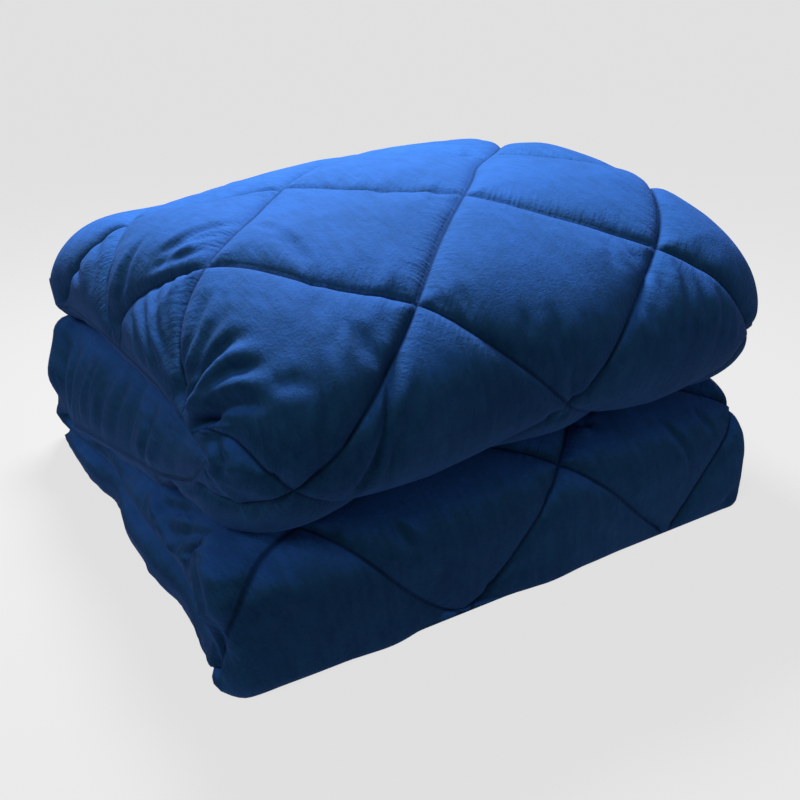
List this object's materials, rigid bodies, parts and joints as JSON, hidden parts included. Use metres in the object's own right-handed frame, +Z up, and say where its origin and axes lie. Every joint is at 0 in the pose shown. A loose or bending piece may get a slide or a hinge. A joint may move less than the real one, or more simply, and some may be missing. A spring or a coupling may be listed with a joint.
{
  "type": "folded quilt",
  "caption": "Thick diamond-quilted bed quilt folded into a square pack of four layers, with a domed top and rounded folds.",
  "frame": {"origin": "centre of the pack's footprint, on the surface it lies on", "axes": "+X along the front folds to the right as seen from the front, +Y from the front folds to the back, +Z up"},
  "size_m": [0.6252, 0.6178, 0.3644],
  "materials": {
    "plush_cloth": "short-pile plush, matt with a soft sheen along its nap"
  },
  "bodies": {
    "root": {"quilt": "plush_cloth"}
  },
  "joints": []
}
